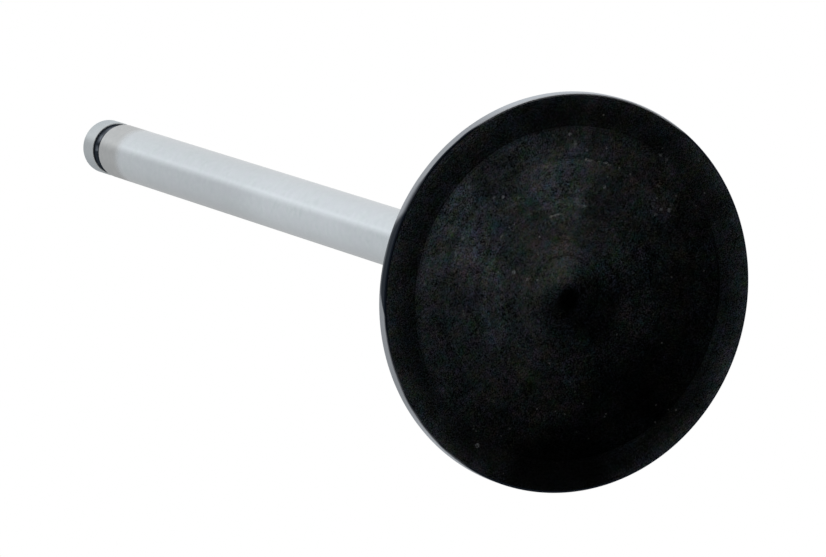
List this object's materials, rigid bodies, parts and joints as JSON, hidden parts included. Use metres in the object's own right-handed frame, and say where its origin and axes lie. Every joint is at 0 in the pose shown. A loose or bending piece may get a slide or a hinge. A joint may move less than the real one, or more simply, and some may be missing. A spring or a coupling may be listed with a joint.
{
  "type": "engine valve",
  "caption": "Poppet valve of a petrol engine: a black dished head with a ground margin and seat, swept into a slim plated stem with a keeper groove.",
  "frame": {"origin": "centre of the flat rim of the combustion face, which the valve stands on", "axes": "+Z along the stem, from the head to the tip; the part is round about Z, so X and Y are free"},
  "size_m": [0.036, 0.036, 0.11],
  "materials": {
    "valve_steel": "ground and flash-chromed stem, ground margin and seat, black satin oxide on the turned face, the underhead and in the keeper groove"
  },
  "bodies": {
    "root": {"engine_valve": "valve_steel"}
  },
  "joints": []
}
